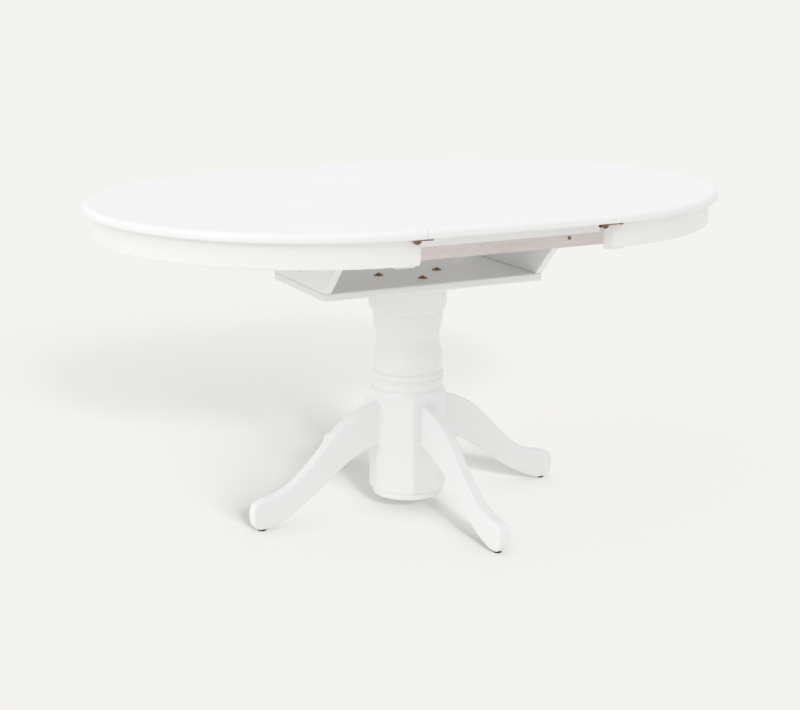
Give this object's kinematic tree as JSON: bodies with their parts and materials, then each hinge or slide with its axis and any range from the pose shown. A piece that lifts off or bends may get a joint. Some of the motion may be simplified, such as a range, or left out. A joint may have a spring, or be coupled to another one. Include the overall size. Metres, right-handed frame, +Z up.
{
  "type": "extending pedestal table",
  "caption": "Round pedestal table drawn out to an oval with its folding leaf in place, on sliding rails, a storage trough, a turned column and scrolled legs.",
  "frame": {"origin": "on the floor under the column's centre", "axes": "+X along the extended top, -Y to the front, +Z up"},
  "size_m": [1.4998, 1.06, 0.76],
  "materials": {
    "painted_wood": "white satin paint",
    "raw_wood": "bare sanded hardwood",
    "bronze": "dark bronzed, satin",
    "zinc_steel": "zinc plated",
    "brass_insert": "plain",
    "black_plastic": "matte black"
  },
  "bodies": {
    "pedestal": {"column": "painted_wood", "leg_right": "painted_wood", "leg_back": "painted_wood", "leg_left": "painted_wood", "leg_front": "painted_wood", "leg_studs": "zinc_steel", "leg_washers": "zinc_steel", "leg_nuts": "zinc_steel", "foot_glides": "black_plastic", "trough_board": "painted_wood", "trough_end_left": "painted_wood", "trough_end_right": "painted_wood", "trough_screws": "zinc_steel", "board_bolts": "bronze", "board_washers": "bronze", "board_inserts": "brass_insert", "rail_front": "raw_wood", "rail_back": "raw_wood", "rail_screws": "bronze", "slide_stops": "zinc_steel"},
    "left_half": {"top_left": "painted_wood", "apron_left": "painted_wood", "apron_end_blocks_left": "painted_wood", "apron_blocks_left": "raw_wood", "block_screws_left": "zinc_steel", "slide_left_outer": "painted_wood", "slide_left_inner": "painted_wood", "slide_screws_left": "zinc_steel", "lock_plate_front_left": "bronze", "lock_plate_back_left": "bronze"},
    "right_half": {"top_right": "painted_wood", "apron_right": "painted_wood", "apron_end_blocks_right": "painted_wood", "apron_blocks_right": "raw_wood", "block_screws_right": "zinc_steel", "slide_right_outer": "painted_wood", "slide_right_inner": "painted_wood", "slide_screws_right": "zinc_steel", "lock_plate_front_right": "bronze", "lock_plate_back_right": "bronze"},
    "front_leaf": {"leaf_front": "painted_wood", "fold_hinges_front": "brass_insert", "lock_keeper_front_left": "bronze", "lock_keeper_front_right": "bronze", "lock_cap_front_right": "black_plastic"},
    "back_leaf": {"leaf_back": "painted_wood", "fold_hinges_back": "brass_insert", "lock_keeper_back_left": "bronze", "lock_keeper_back_right": "bronze", "lock_cap_back_left": "black_plastic"},
    "lever_front_left": {"lock_lever_front_left": "bronze"},
    "lever_front_right": {"lock_lever_front_right": "bronze"},
    "lever_back_right": {"lock_lever_back_right": "bronze"},
    "lever_back_left": {"lock_lever_back_left": "bronze"}
  },
  "joints": [
    {"name": "left_half_slide", "type": "slide", "parent": "pedestal", "child": "left_half", "axis": [-1, 0, 0], "range_m": [0, 0.04]},
    {"name": "right_half_slide", "type": "slide", "parent": "pedestal", "child": "right_half", "axis": [1, 0, 0], "range_m": [0, 0.04]},
    {"name": "leaf_lift", "type": "slide", "parent": "pedestal", "child": "front_leaf", "axis": [0, 0, 1], "range_m": [0, 0.15]},
    {"name": "leaf_fold", "type": "hinge", "parent": "front_leaf", "child": "back_leaf", "pos_m": [0, 0, 0.7602], "axis": [1, 0, 0], "range_deg": [0, 180]},
    {"name": "lock_front_left", "type": "hinge", "parent": "left_half", "child": "lever_front_left", "pos_m": [-0.244, -0.517, 0.7375], "axis": [0, 0, 1], "range_deg": [-60, 12]},
    {"name": "lock_front_right", "type": "hinge", "parent": "right_half", "child": "lever_front_right", "pos_m": [0.242, -0.517, 0.7375], "axis": [0, 0, -1], "range_deg": [-60, 7.6]},
    {"name": "lock_back_right", "type": "hinge", "parent": "right_half", "child": "lever_back_right", "pos_m": [0.244, 0.517, 0.7375], "axis": [0, 0, 1], "range_deg": [-60, 12]},
    {"name": "lock_back_left", "type": "hinge", "parent": "left_half", "child": "lever_back_left", "pos_m": [-0.242, 0.517, 0.7375], "axis": [0, 0, -1], "range_deg": [-60, 7.6]}
  ]
}
